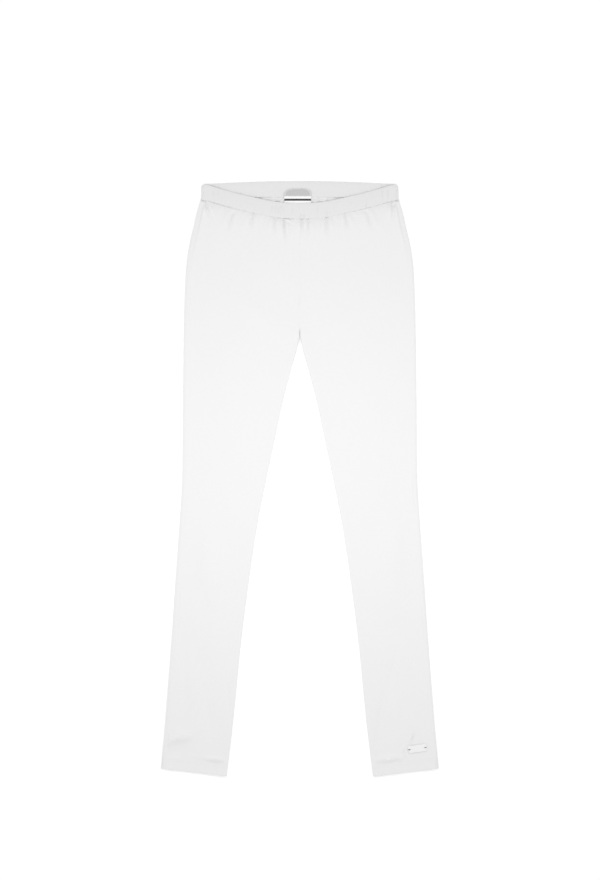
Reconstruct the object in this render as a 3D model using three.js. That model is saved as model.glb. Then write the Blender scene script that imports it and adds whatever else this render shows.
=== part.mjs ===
// Leggings laid flat with the front up: an elastic waistband ring, two front and two back leg panels,
// two labels inside the back waist and a small metal plate above the hem of the wearer's left leg.
// Millimetres. +X points to the wearer's left, +Y to the waist and +Z up from the surface they lie on.
// "down" is a distance towards the hems, measured from the highest point of the back waist.

import * as THREE from "three";

// Driving dimensions
const LENGTH = 965; // highest point of the back waist to the lowest point of the hems
const CLOTH = 1.2; // one layer of brushed jersey
const SEAM_GAP = 0.3; // between pieces that are sewn together or lie on each other

const BAND = {
  half: 159.8, // half the flat width
  height: 25.5,
  thick: 2.8, // casing, elastic and casing again
  sideTop: 4.9, // how far down its top lies at the sides
  frontMiddle: 5.0, // height of the front's middle layer at the centre
  frontSide: 6.6, // and where it turns at the sides
};

// The two layers. A front dips below its sides at the centre, and a back rises above them.
const FRONT = { name: "front", dip: 30.8, up: 1 };
const BACK = { name: "back", dip: -4.9, up: -1 };

const CROTCH_DOWN = 253;
const HEM = { sideDown: 952, innerDown: LENGTH, turn: 15, extra: 0.8, groove: 0.35 };

// The side seam's distance from the centre line
const OUTSEAM = [
  { down: 30, half: 160.6 },
  { down: 50, half: 167 },
  { down: 70, half: 171.5 },
  { down: 100, half: 178.5 },
  { down: 135, half: 184 },
  { down: 180, half: 186.6 },
  { down: 253, half: 188.4 },
  { down: 355, half: 189.6 },
  { down: 485, half: 191 },
  { down: 550, half: 194.8 },
  { down: 615, half: 199.5 },
  { down: 745, half: 208.5 },
  { down: 875, half: 218.5 },
  { down: 952, half: 225.7 },
];

// The inseam's distance from the centre line, below the crotch
const INSEAM = [
  { down: 253, half: 0.15 },
  { down: 275, half: 5 },
  { down: 305, half: 13.5 },
  { down: 355, half: 26.7 },
  { down: 420, half: 40.5 },
  { down: 485, half: 54.3 },
  { down: 550, half: 67.2 },
  { down: 615, half: 77.5 },
  { down: 745, half: 94.5 },
  { down: 875, half: 107.5 },
  { down: 965, half: 118.3 },
];

// How high the layers lie: the radius in which the cloth rolls over at its edges, and the front's height
// between them
const LOFT = [
  { down: 30, roll: 3.4, middle: 5.2 },
  { down: 90, roll: 3.1, middle: 5.2 },
  { down: 170, roll: 2.8, middle: 4.7 },
  { down: 253, roll: 2.7, middle: 4.6 },
  { down: 380, roll: 2.7, middle: 4.9 },
  { down: 560, roll: 2.6, middle: 4.3 },
  { down: 760, roll: 2.5, middle: 4.4 },
  { down: 900, roll: 2.5, middle: 4.3 },
  { down: 965, roll: 2.6, middle: 4.8 },
];

// Troughs between the gathers under the waistband: where each starts, how far it runs, its width and its
// relative depth
const FRONT_GATHERS = [
  { x: -150, run: 26, width: 4.0, depth: 1.0 },
  { x: -133, run: 22, width: 3.2, depth: 0.5 },
  { x: -108, run: 34, width: 3.0, depth: 0.8 },
  { x: -89, run: 22, width: 2.6, depth: 0.5 },
  { x: -72, run: 32, width: 2.6, depth: 0.9 },
  { x: -58, run: 20, width: 2.4, depth: 0.6 },
  { x: -42, run: 40, width: 2.6, depth: 0.9 },
  { x: -25, run: 62, width: 3.0, depth: 1.0 },
  { x: -10, run: 24, width: 2.4, depth: 0.6 },
  { x: 6, run: 42, width: 2.6, depth: 0.9 },
  { x: 17, run: 44, width: 2.6, depth: 0.8 },
  { x: 30, run: 22, width: 2.4, depth: 0.5 },
  { x: 44, run: 50, width: 2.8, depth: 1.0 },
  { x: 58, run: 20, width: 2.6, depth: 0.5 },
  { x: 74, run: 30, width: 2.6, depth: 0.8 },
  { x: 90, run: 20, width: 2.6, depth: 0.4 },
  { x: 109, run: 38, width: 3.0, depth: 0.9 },
  { x: 131, run: 20, width: 3.2, depth: 0.5 },
  { x: 150, run: 30, width: 4.0, depth: 1.0 },
];
const BACK_GATHERS = [
  { x: -146, run: 24, width: 3.6, depth: 0.9 },
  { x: -124, run: 30, width: 3.2, depth: 0.8 },
  { x: -101, run: 26, width: 3.0, depth: 0.6 },
  { x: -82, run: 36, width: 2.8, depth: 0.9 },
  { x: -63, run: 26, width: 2.6, depth: 0.8 },
  { x: -48, run: 40, width: 2.6, depth: 1.0 },
  { x: -34, run: 34, width: 2.6, depth: 0.9 },
  { x: 31, run: 36, width: 2.6, depth: 0.9 },
  { x: 46, run: 42, width: 2.6, depth: 1.0 },
  { x: 60, run: 26, width: 2.6, depth: 0.8 },
  { x: 79, run: 34, width: 2.8, depth: 0.8 },
  { x: 98, run: 26, width: 3.0, depth: 0.6 },
  { x: 122, run: 30, width: 3.2, depth: 0.9 },
  { x: 147, run: 24, width: 3.6, depth: 0.9 },
];
const PUFF = { [FRONT.name]: 1.3, [BACK.name]: 0.9 }; // how far the cloth stands up between the troughs
const PUFF_FADE = 26; // the distance down in which that fades away

// Soft folds of the front: the middle of each, the way it runs from straight down, its reach along and
// across, and how far it lifts the cloth or lets it sink
const FOLDS = [
  { x: -128, down: 78, turn: 10, run: 32, width: 22, lift: 0.7 },
  { x: 126, down: 82, turn: -12, run: 34, width: 24, lift: 0.7 },
  { x: 14, down: 150, turn: 3, run: 46, width: 9, lift: 0.5 },
  { x: -6, down: 190, turn: 0, run: 48, width: 9, lift: -0.6 },
  { x: -84, down: 205, turn: 60, run: 60, width: 16, lift: 0.5 },
  { x: 92, down: 216, turn: -62, run: 62, width: 16, lift: 0.5 },
  { x: -34, down: 268, turn: 48, run: 40, width: 9, lift: -0.6 },
  { x: 36, down: 272, turn: -50, run: 38, width: 9, lift: -0.5 },
  { x: -118, down: 330, turn: 8, run: 120, width: 26, lift: 0.6 },
  { x: 112, down: 345, turn: -6, run: 110, width: 28, lift: 0.6 },
  { x: -172, down: 590, turn: -8, run: 60, width: 16, lift: -0.8 },
  { x: 172, down: 585, turn: 6, run: 62, width: 18, lift: -0.8 },
  { x: -120, down: 520, turn: 24, run: 60, width: 14, lift: 0.6 },
  { x: 124, down: 545, turn: -30, run: 52, width: 14, lift: 0.5 },
  { x: -140, down: 700, turn: -14, run: 74, width: 16, lift: 0.6 },
  { x: 186, down: 702, turn: 40, run: 30, width: 14, lift: 0.6 },
  { x: -146, down: 868, turn: 6, run: 56, width: 12, lift: -0.7 },
  { x: 138, down: 856, turn: -8, run: 60, width: 12, lift: -0.7 },
  { x: -192, down: 906, turn: 52, run: 30, width: 13, lift: -0.9 },
  { x: 172, down: 884, turn: -30, run: 36, width: 12, lift: 0.5 },
];

const BRAND_LABEL = { x: -3.5, width: 46, height: 12.5, corner: 7, thick: 0.5, down: 24.4 };
const SIZE_LABEL = { x: -3.5, half: 21.5, thick: 0.5, rise: 0.5 };
const PLATE = {
  x: 190.4,
  down: 919.5,
  width: 30,
  height: 11.5,
  corner: 2.6,
  thick: 0.8,
  bevel: 0.2,
  slopeDeg: 7.5,
  holeRadius: 1.1,
  holeInset: 2.6,
  segments: 5,
};

// How finely the surfaces are divided
const ROLL_STEPS = 3; // across each rolled edge
const FLAT_STEPS = 9; // between them
const GATHER_ROWS = [0, 3, 8, 14, 22, 32, 46]; // distances below the waist seam
const BODY_ROWS = 4; // from there to where the inner edge starts to roll
const CURL_ROWS = 3; // through that, down to the crotch
const LEG_ROWS = 15; // from the crotch to the hem's turn
const BODY_DEPTH = CROTCH_DOWN - 46; // a typical waist seam to the crotch
const CURL_START = 0.9; // the row where the inner edge starts to roll over
const LEAST_CURL = 0.02; // keeps a nearly flat edge's radius finite
const EDGE_FALL = 14; // how far in from a rolled edge the cloth takes to come down to its middle height
const EDGE_CALM = 12; // and how far in folds start
const FACET = 0.1; // how far a panel's facets may stand off its smooth form

const jersey = new THREE.MeshStandardMaterial({ color: "#f4f4f3", roughness: 0.92 });
const casing = new THREE.MeshStandardMaterial({ color: "#eeeeed", roughness: 0.9 });
const greyPrint = new THREE.MeshStandardMaterial({ color: "#c9c9c9", roughness: 0.7 });
const wovenLabel = new THREE.MeshStandardMaterial({ color: "#f6f6f6", roughness: 0.8 });
const paleMetal = new THREE.MeshStandardMaterial({ color: "#dcdcda", roughness: 0.3, metalness: 1 });

const { lerp, clamp, smoothstep, degToRad } = THREE.MathUtils;

// A point of the object from its distance off the centre line, its distance down and its height.
function place(x, down, z) {
  return new THREE.Vector3(x, LENGTH / 2 - down, z);
}

// The value of one column of a table at `down`, on a smooth curve through its rows.
function along(table, column, down) {
  const last = table.length - 1;
  const at = clamp(down, table[0].down, table[last].down);
  let i = 0;
  while (i < last - 1 && at > table[i + 1].down) i++;
  const slopeAt = (k) => {
    const before = table[Math.max(k - 1, 0)];
    const after = table[Math.min(k + 1, last)];
    return (after[column] - before[column]) / (after.down - before.down);
  };
  const span = table[i + 1].down - table[i].down;
  const t = (at - table[i].down) / span;
  return (
    (2 * t ** 3 - 3 * t ** 2 + 1) * table[i][column] +
    (t ** 3 - 2 * t ** 2 + t) * span * slopeAt(i) +
    (3 * t ** 2 - 2 * t ** 3) * table[i + 1][column] +
    (t ** 3 - t ** 2) * span * slopeAt(i + 1)
  );
}

// How far down the waistband's top edge lies at x.
function bandTop(layer, x) {
  const share = Math.min(1, Math.abs(x) / BAND.half);
  return BAND.sideTop + layer.dip * Math.cos((share * Math.PI) / 2);
}

const WAIST_SIDE_DOWN = BAND.sideTop + BAND.height + SEAM_GAP;
const WAIST_HALF = along(OUTSEAM, "half", WAIST_SIDE_DOWN);

// How far down a row of a panel lies. Rows count 0 at the waist seam, 1 at the crotch and 2 at the hem, and
// `share` runs from the side seam (0) to the centre seam or inseam (1).
function downAt(layer, row, share) {
  if (row <= 1) {
    const waist = bandTop(layer, lerp(WAIST_HALF, 0, share)) + BAND.height + SEAM_GAP;
    return lerp(waist, CROTCH_DOWN, row);
  }
  return lerp(CROTCH_DOWN, lerp(HEM.sideDown, HEM.innerDown, share), row - 1);
}

// How far a panel's inner edge has rolled over: not at all along the centre seam, and fully along the inseam.
function curlAt(row) {
  return Math.max(LEAST_CURL, smoothstep(row, CURL_START, 1));
}

// A point of a panel's outer skin without its folds, as {x, share, down, height, toSide, toInner}. `across`
// counts 0 at the side seam, 1 where that edge's roll ends, 2 where the inner edge's roll starts and 3 at
// the inner seam.
function smoothSkin(layer, row, across) {
  const sideDown = downAt(layer, row, 0);
  const innerDown = downAt(layer, row, 1);
  const sideX = along(OUTSEAM, "half", sideDown);
  const innerX = row < 1 ? SEAM_GAP / 2 : along(INSEAM, "half", innerDown);
  const sideRoll = along(LOFT, "roll", sideDown);
  const innerRoll = along(LOFT, "roll", innerDown);
  const curl = curlAt(row);
  const innerRadius = innerRoll / curl;
  const innerAngle = (curl * Math.PI) / 2;
  const flatFrom = sideX - sideRoll;
  const flatTo = innerX + innerRadius * Math.sin(innerAngle);

  let x = lerp(flatFrom, flatTo, clamp(across - 1, 0, 1));
  let drop = 0;
  if (across < 1) {
    const angle = ((1 - across) * Math.PI) / 2;
    x = flatFrom + sideRoll * Math.sin(angle);
    drop = sideRoll * (1 - Math.cos(angle));
  } else if (across > 2) {
    const angle = (across - 2) * innerAngle;
    x = flatTo - innerRadius * Math.sin(angle);
    drop = innerRadius * (1 - Math.cos(angle));
  }

  const share = (sideX - x) / (sideX - innerX);
  const down = downAt(layer, row, share);
  const toSide = Math.max(0, flatFrom - x);
  const toInner = Math.max(0, x - flatTo);
  const middle = along(LOFT, "middle", down);
  const fall = (distance) => Math.exp(-((distance / EDGE_FALL) ** 2));
  const sideRise = (2 * sideRoll + SEAM_GAP - middle) * fall(toSide);
  const innerRise = (2 * innerRoll + SEAM_GAP - middle) * fall(toInner) * Math.min(1, 1.6 * curl);
  const height = layer === FRONT ? middle + sideRise + innerRise - drop : drop;
  return { x, share, down, height, toSide, toInner };
}

// How far the front's soft folds lift the cloth at a place on a leg.
function foldLift(x, down) {
  return FOLDS.reduce((sum, fold) => {
    const turn = degToRad(fold.turn);
    const dx = x - fold.x;
    const dd = down - fold.down;
    const lengthwise = dd * Math.cos(turn) + dx * Math.sin(turn);
    const crosswise = dx * Math.cos(turn) - dd * Math.sin(turn);
    return sum + fold.lift * Math.exp(-((lengthwise / fold.run) ** 2) - (crosswise / fold.width) ** 2);
  }, 0);
}

// How far the gathers stand up from a panel's skin. `waistX` is where the cloth's thread meets the waist.
function gatherLift(layer, row, waistX) {
  const below = row * BODY_DEPTH;
  const troughs = layer === FRONT ? FRONT_GATHERS : BACK_GATHERS;
  const sunk = troughs.reduce((sum, trough) => {
    const faded = Math.max(0, 1 - below / trough.run) ** 0.7;
    const width = trough.width * (1 + below / trough.run);
    return sum + trough.depth * faded * Math.exp(-(((waistX - trough.x) / width) ** 2));
  }, 0);
  return PUFF[layer.name] * Math.exp(-((below / PUFF_FADE) ** 1.4)) * (1 - Math.min(1, sunk));
}

// Extra thickness of the turned-up hem, whose edge lies HEM.turn above the leg's opening.
function hemExtra(row) {
  const fromHem = (2 - row) * (HEM.innerDown - CROTCH_DOWN);
  return HEM.extra * (1 - smoothstep(fromHem, HEM.turn - 1.5, HEM.turn + 1.5));
}

// The groove that the hem's stitching pulls into the cloth.
function hemGroove(row) {
  const fromHem = (2 - row) * (HEM.innerDown - CROTCH_DOWN);
  return HEM.groove * Math.exp(-(((fromHem - HEM.turn) / 1.6) ** 2));
}

// A point of a panel's outer skin with its soft folds, on the side (+1 or -1) of the centre line.
function skinPoint(layer, side, row, across) {
  const at = smoothSkin(layer, row, across);
  const calmInner = lerp(1, smoothstep(at.toInner, 0, EDGE_CALM), curlAt(row));
  const calm = smoothstep(at.toSide, 0, EDGE_CALM) * calmInner;
  const lift = layer === FRONT ? calm * (foldLift(side * at.x, at.down) - hemGroove(row)) : 0;
  return { ...at, calm, point: place(side * at.x, at.down, at.height + lift) };
}

// The direction that a panel's outer skin faces.
function skinNormal(layer, side, row, across) {
  const step = 0.01;
  const lowRow = Math.max(0, row - step);
  const highRow = Math.min(2, row + step);
  const lowAcross = Math.max(0, across - step);
  const highAcross = Math.min(3, across + step);
  const at = (nearRow, nearAcross) => skinPoint(layer, side, nearRow, nearAcross).point;
  const alongRow = at(row, highAcross).sub(at(row, lowAcross));
  const downRow = at(highRow, across).sub(at(lowRow, across));
  return alongRow.cross(downRow).normalize().multiplyScalar(side * layer.up);
}

// The front shows its outer skin, and the back shows its inner one in the waist. The gathers are raised in
// the skin that shows, over a plain one.
function outerSkin(layer, side, row, across) {
  const { point, share, calm } = skinPoint(layer, side, row, across);
  if (layer === FRONT) point.z += calm * gatherLift(layer, row, side * lerp(WAIST_HALF, 0, share));
  return point;
}

function innerSkin(layer, side, row, across) {
  const { point, share, calm } = skinPoint(layer, side, row, across);
  point.addScaledVector(skinNormal(layer, side, row, across), -(CLOTH + hemExtra(row)));
  if (layer === BACK) point.z += calm * gatherLift(layer, row, side * lerp(WAIST_HALF, 0, share));
  return point;
}

const range = (count, from, to) => Array.from({ length: count + 1 }, (_, i) => lerp(from, to, i / count));

const PLAIN_COLUMNS = [
  ...range(ROLL_STEPS, 0, 1),
  ...range(FLAT_STEPS, 1, 2).slice(1),
  ...range(ROLL_STEPS, 2, 3).slice(1),
];
const LABEL_EDGES = [SIZE_LABEL.x - SIZE_LABEL.half, SIZE_LABEL.x + SIZE_LABEL.half];

// Where a panel's waist seam at x lies across it, in the units of smoothSkin.
function acrossAt(x) {
  const roll = along(LOFT, "roll", WAIST_SIDE_DOWN);
  const flatFrom = WAIST_HALF - roll;
  const flatTo = (roll / LEAST_CURL) * Math.sin((LEAST_CURL * Math.PI) / 2);
  return 1 + (flatFrom - Math.abs(x)) / (flatFrom - flatTo);
}

// Columns that follow the gathers: one down each trough, one on each of its sides and one on each crest
// between, and two under the label's half.
function gatherColumns(layer, side) {
  const troughs = (layer === FRONT ? FRONT_GATHERS : BACK_GATHERS).filter((trough) => trough.x * side > 0);
  const xs = troughs.map((trough) => Math.abs(trough.x)).sort((a, b) => b - a);
  const crests = xs.slice(1).map((x, i) => (x + xs[i]) / 2);
  const sides = troughs.flatMap((trough) => [-1, 1].map((way) => Math.abs(trough.x) + way * trough.width));
  const label = layer === BACK ? LABEL_EDGES.filter((x) => x * side > 0).flatMap((x) => [x, x / 2]) : [];
  const flat = [...xs, ...crests, ...sides, ...label]
    .map(acrossAt)
    .filter((across) => across > 1.02 && across < 1.98)
    .sort((a, b) => a - b);
  return [...range(ROLL_STEPS, 0, 1), ...flat, ...range(ROLL_STEPS, 2, 3)];
}

const GATHER_END = GATHER_ROWS.at(-1) / BODY_DEPTH;
const HEM_ROWS = [HEM.turn + 8, HEM.turn + 2, HEM.turn, HEM.turn - 2, 0].map(
  (fromHem) => 2 - fromHem / (HEM.innerDown - CROTCH_DOWN),
);
const LABEL_ROWS = GATHER_ROWS.slice(0, 5).map((below) => below / BODY_DEPTH);
const ROWS = [
  ...GATHER_ROWS.map((below) => below / BODY_DEPTH),
  ...range(BODY_ROWS, GATHER_END, CURL_START).slice(1),
  ...range(CURL_ROWS, CURL_START, 1).slice(1),
  ...range(LEG_ROWS, 1, HEM_ROWS[0]).slice(1),
  ...HEM_ROWS.slice(1),
];

// Joins two strings of points, {at, index} in rising order of `at`, with triangles that advance along
// whichever lags.
function zip(first, second, faces) {
  let i = 0;
  let j = 0;
  while (i < first.length - 1 || j < second.length - 1) {
    const nextFirst = i < first.length - 1 ? first[i + 1].at : Infinity;
    const nextSecond = j < second.length - 1 ? second[j + 1].at : Infinity;
    if (nextFirst <= nextSecond) {
      faces.push(first[i].index, second[j].index, first[i + 1].index);
      i++;
    } else {
      faces.push(first[i].index, second[j].index, second[j + 1].index);
      j++;
    }
  }
}

function geometryOf(points, faces) {
  const geometry = new THREE.BufferGeometry().setFromPoints(points);
  geometry.setIndex(faces);
  geometry.computeVertexNormals();
  return geometry;
}

// Turns every face of a list round.
function flipped(faces) {
  return faces.map((_, i) => faces[i - (i % 3) + [0, 2, 1][i % 3]]);
}

// The closed surface of a sheet whose rows are strings of points on an outer and an inner skin.
function sheetFaces(rows) {
  const faces = [];
  rows.slice(1).forEach((row, i) => {
    zip(rows[i].outer, row.outer, faces);
    zip(row.inner, rows[i].inner, faces);
  });
  const edge = (skin, end) => rows.map((row, i) => ({ at: i, index: row[skin].at(end).index }));
  zip(edge("outer", 0), edge("inner", 0), faces);
  zip(edge("inner", -1), edge("outer", -1), faces);
  zip(rows[0].inner, rows[0].outer, faces);
  zip(rows.at(-1).outer, rows.at(-1).inner, faces);
  return faces;
}

// A leg panel: an outer and an inner skin a cloth's thickness apart, joined round their edges.
function panelGeometry(layer, side) {
  const points = [];
  const string = (skin, columns, row) =>
    columns.map((across) => ({ at: across, index: points.push(skin(layer, side, row, across)) - 1 }));
  const rows = ROWS.map((row) => {
    const shown = row < GATHER_END - 1e-6 ? gatherColumns(layer, side) : PLAIN_COLUMNS;
    return {
      outer: string(outerSkin, layer === FRONT ? shown : PLAIN_COLUMNS, row),
      inner: string(innerSkin, layer === BACK ? shown : PLAIN_COLUMNS, row),
    };
  });
  const faces = sheetFaces(rows);
  return geometryOf(points, side * layer.up > 0 ? flipped(faces) : faces);
}

// The waistband's middle line across the garment, closed, as points {x, z, front}.
function bandLine() {
  const backZ = BAND.thick / 2;
  const radius = (BAND.frontSide - backZ) / 2;
  const turnX = BAND.half - BAND.thick / 2 - radius;
  const turnZ = backZ + radius;
  const strip = (steps, from, to, z, front) =>
    range(steps, from, to).map((share) => ({ x: turnX * share, z: z(Math.abs(share)), front }));
  const turn = (way) =>
    range(6, 0, 1)
      .slice(1, -1)
      .map((share) => {
        const angle = Math.PI * (way > 0 ? 0.5 - share : 1.5 - share);
        const x = way * turnX + radius * Math.cos(angle);
        return { x, z: turnZ + radius * Math.sin(angle), front: share < 0.5 === way > 0 };
      });
  const frontZ = (share) => lerp(BAND.frontMiddle, BAND.frontSide, share ** 3);
  return [
    ...strip(40, -1, 1, frontZ, true),
    ...turn(1),
    ...strip(26, 1, -1, () => backZ, false),
    ...turn(-1),
  ];
}

// The waistband's cross-section, its height by its thickness with rounded edges, as {up, out} from its
// lower edge.
function bandSection() {
  const radius = BAND.thick / 2;
  const end = (middle, from) =>
    range(4, 0, 1).map((share) => {
      const angle = from + share * Math.PI;
      return { up: middle + radius * Math.sin(angle), out: radius * Math.cos(angle) };
    });
  return [...end(BAND.height - radius, 0), ...end(radius, Math.PI)];
}

function waistbandGeometry() {
  const line = bandLine();
  const section = bandSection();
  const points = [];
  const faces = [];
  line.forEach((at, i) => {
    const before = line[(i + line.length - 1) % line.length];
    const after = line[(i + 1) % line.length];
    const out = new THREE.Vector2(before.z - after.z, after.x - before.x).normalize();
    const layer = at.front ? FRONT : BACK;
    section.forEach((corner) => {
      const down = bandTop(layer, at.x) + BAND.height - corner.up;
      points.push(place(at.x + out.x * corner.out, down, at.z + out.y * corner.out));
    });
  });
  const count = section.length;
  line.forEach((_, i) => {
    const next = (i + 1) % line.length;
    section.forEach((_, k) => {
      const [a, b] = [i * count + k, i * count + ((k + 1) % count)];
      const [c, d] = [next * count + k, next * count + ((k + 1) % count)];
      faces.push(a, c, b, b, c, d);
    });
  });
  return geometryOf(points, faces);
}

// The label on the inside of the back waistband: straight below, with large rounded corners above.
function brandLabelGeometry() {
  const { width, height, corner, thick } = BRAND_LABEL;
  const shape = new THREE.Shape()
    .moveTo(-width / 2, 0)
    .lineTo(width / 2, 0)
    .lineTo(width / 2, height - corner)
    .absarc(width / 2 - corner, height - corner, corner, 0, Math.PI / 2)
    .absarc(corner - width / 2, height - corner, corner, Math.PI / 2, Math.PI)
    .lineTo(-width / 2, 0);
  return new THREE.ExtrudeGeometry(shape, { depth: thick, bevelEnabled: false, curveSegments: 6 });
}

// The folded label that hangs from the back waist seam, laid on the back panels' own points and moved out.
function sizeLabelGeometry() {
  const { half, thick, rise } = SIZE_LABEL;
  const points = [];
  const columns = [-1, 1].flatMap((side) =>
    gatherColumns(BACK, side)
      .map((across) => ({ side, across, x: innerSkin(BACK, side, 0, across).x }))
      .filter(({ x }) => Math.abs(x - SIZE_LABEL.x) < half + 0.5),
  );
  columns.sort((a, b) => a.x - b.x);
  const string = (row, bulge, lift) =>
    columns.map(({ side, across, x }) => {
      const point = innerSkin(BACK, side, row, across);
      point.y -= SEAM_GAP;
      point.z += SEAM_GAP + bulge * (1 - ((x - SIZE_LABEL.x) / half) ** 2) + lift;
      return { at: x, index: points.push(point) - 1 };
    });
  const rows = LABEL_ROWS.map((row, i) => {
    const bulge = rise * Math.sin((Math.PI * i) / (LABEL_ROWS.length - 1));
    return { outer: string(row, bulge, thick), inner: string(row, bulge, 0) };
  });
  return geometryOf(points, sheetFaces(rows));
}

// The small plate above the left hem: a rounded bar with a sewing hole at each end.
function plateGeometry() {
  const { width, height, corner, thick, bevel, holeRadius, holeInset, segments } = PLATE;
  const [w, h] = [width / 2 - bevel, height / 2 - bevel];
  const shape = new THREE.Shape()
    .moveTo(-w, corner - h)
    .absarc(corner - w, corner - h, corner, Math.PI, 1.5 * Math.PI)
    .absarc(w - corner, corner - h, corner, 1.5 * Math.PI, 2 * Math.PI)
    .absarc(w - corner, h - corner, corner, 0, 0.5 * Math.PI)
    .absarc(corner - w, h - corner, corner, 0.5 * Math.PI, Math.PI);
  for (const side of [-1, 1]) {
    const centre = side * (width / 2 - holeInset);
    const hole = new THREE.Path().absarc(centre, 0, holeRadius + bevel, 0, 2 * Math.PI, true);
    shape.holes.push(hole);
  }
  return new THREE.ExtrudeGeometry(shape, {
    depth: thick - 2 * bevel,
    bevelThickness: bevel,
    bevelSize: bevel,
    bevelSegments: 1,
    curveSegments: segments,
  }).translate(0, 0, bevel);
}

// The height of the left front panel's outer skin at a place between its rolled edges.
function frontHeight(x, down) {
  const lengthwise = (down - CROTCH_DOWN) / (HEM.innerDown - CROTCH_DOWN);
  const row = 1 + lengthwise;
  const [low, high] = [1, 2].map((across) => skinPoint(FRONT, 1, row, across).point.x);
  return outerSkin(FRONT, 1, row, 1 + (x - low) / (high - low)).z;
}

// The highest point of the cloth under the plate, which it rests on.
function plateRest() {
  const reach = [-0.5, -0.25, 0, 0.25, 0.5];
  const heights = reach.flatMap((u) =>
    reach.map((v) => frontHeight(PLATE.x + u * PLATE.width, PLATE.down + v * PLATE.height)),
  );
  return Math.max(...heights) + FACET + SEAM_GAP;
}

function named(name, geometry, material) {
  const mesh = new THREE.Mesh(geometry, material);
  mesh.name = name;
  return mesh;
}

const cloth = new THREE.Group();
for (const layer of [BACK, FRONT]) {
  for (const [word, side] of [["right", -1], ["left", 1]]) {
    cloth.add(named(`${layer.name}_panel_${word}`, panelGeometry(layer, side), jersey));
  }
}
cloth.add(named("waistband", waistbandGeometry(), casing));

const brandLabel = named("brand_label", brandLabelGeometry(), greyPrint);
brandLabel.position.copy(place(BRAND_LABEL.x, BRAND_LABEL.down, BAND.thick + SEAM_GAP));
const sizeLabel = named("size_label", sizeLabelGeometry(), wovenLabel);

const plate = named("ankle_plate", plateGeometry(), paleMetal);
plate.position.copy(place(PLATE.x, PLATE.down, plateRest()));
plate.rotation.z = degToRad(PLATE.slopeDeg);

const leggings = new THREE.Group();
leggings.add(cloth, brandLabel, sizeLabel, plate);

export default leggings;
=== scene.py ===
"""White jersey leggings laid flat with the front up, seen from straight above on a white studio sheet.

Sizes are in millimetres until a mesh is made. +X points to the wearer's left and +Y to the waist. "down" is a
distance towards the hems, measured from the highest point of the back waist, as in the part's source.
"""

import math
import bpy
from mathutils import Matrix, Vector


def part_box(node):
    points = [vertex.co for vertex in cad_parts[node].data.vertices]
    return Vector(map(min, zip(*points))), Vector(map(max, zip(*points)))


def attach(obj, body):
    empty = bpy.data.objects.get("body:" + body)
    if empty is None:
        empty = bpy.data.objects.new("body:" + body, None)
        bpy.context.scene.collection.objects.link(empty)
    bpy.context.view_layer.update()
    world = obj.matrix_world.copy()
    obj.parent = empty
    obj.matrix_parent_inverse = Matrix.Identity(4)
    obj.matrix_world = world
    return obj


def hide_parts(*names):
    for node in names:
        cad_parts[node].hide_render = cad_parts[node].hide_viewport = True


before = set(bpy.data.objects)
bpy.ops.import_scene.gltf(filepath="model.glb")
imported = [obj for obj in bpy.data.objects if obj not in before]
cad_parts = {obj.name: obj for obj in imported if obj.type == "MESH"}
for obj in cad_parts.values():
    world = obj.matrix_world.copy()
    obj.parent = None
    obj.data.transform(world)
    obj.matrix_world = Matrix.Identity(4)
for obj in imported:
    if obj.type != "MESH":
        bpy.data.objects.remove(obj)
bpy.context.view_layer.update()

from types import SimpleNamespace

import bpy
import numpy as np

MM = 0.001
SEED = 11

# Driving dimensions
LENGTH = 965.0
CLOTH = 1.2
SEAM_GAP = 0.3
SEAM = 0.01  # what is left between two panels where they are sewn together
SEAM_PULL = {"reach": 0.8, "pull": 0.55, "uneven": 0.12}  # how the side seam and the inseam draw the edges in
EDGE_REACH = 14.0  # how far in from its edges the cloth slopes up or down to their rolls
INNER_LOWEST = 0.3  # the lowest that the cloth's inner skin lies above the floor
CURL = {"least": 0.02, "row": 0.9}  # of the inner edge above the crotch, and the row where it starts to roll
CALM = {"side": 4, "inner": 8}  # how far in from the rolls the folds have their full height
# The centre seam: its ditch's depth and half width, and the height, slant, pitch and reach of its puckers
CENTRE = {"ditch": 0.06, "half": 1.6, "pucker": 0.1, "slant": 0.25, "pitch": 9, "reach": 4.5}
WAVES = {"count": 14, "shortest": 26, "longest": 90, "height": 0.3}  # the front's unevenness

BAND = {
    "half": 159.8, "height": 25.5, "thick": 2.8, "side_top": 4.9, "front_middle": 5.0, "front_side": 6.6,
    "edge_taper": 0.5,
}
FRONT = {"name": "front", "dip": 30.8, "bow": 1.8, "up": 1}
BACK = {"name": "back", "dip": -4.9, "bow": 0.0, "up": -1}

CROTCH_DOWN = 253.0
HEM = {
    "side_down": 952.0, "inner_down": LENGTH, "turn": 15.0, "extra": 0.8, "groove": 0.35,
    "needles": 1.6,  # from the middle between the two rows of stitches to each
    "stitch_width": 0.7,
}
ROPE = {"height": 0.07, "slant": 0.6, "pitch": 6.5}  # the twist along the hem's turned edge
# How far below the waist seam the front is held down, and how much farther at its corners
HELD = {"reach": 1.1, "corner_reach": 2.4, "corner_from": 146, "corner_to": 157}
LEG_DEPTH = HEM["inner_down"] - CROTCH_DOWN
BODY_DEPTH = CROTCH_DOWN - 46

# The side seam's distance from the centre line: (down, half)
OUTSEAM = [
    (30, 160.6), (50, 167), (70, 171.5), (100, 178.5), (135, 184), (180, 186.6), (253, 188.4), (355, 189.6),
    (485, 191), (550, 194.8), (615, 199.5), (745, 208.5), (875, 218.5), (952, 225.7),
]
# The inseam's distance from the centre line below the crotch: (down, half)
INSEAM = [
    (253, 0.15), (275, 5), (305, 13.5), (355, 26.7), (420, 40.5), (485, 54.3), (550, 67.2), (615, 77.5),
    (745, 94.5), (875, 107.5), (965, 118.3),
]
# The radius in which the cloth rolls over at its edges: (down, roll)
ROLL = [
    (30, 3.4), (90, 3.1), (170, 2.8), (253, 2.7), (380, 2.7), (560, 2.6), (760, 2.5), (900, 2.5), (965, 2.6),
]
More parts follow.
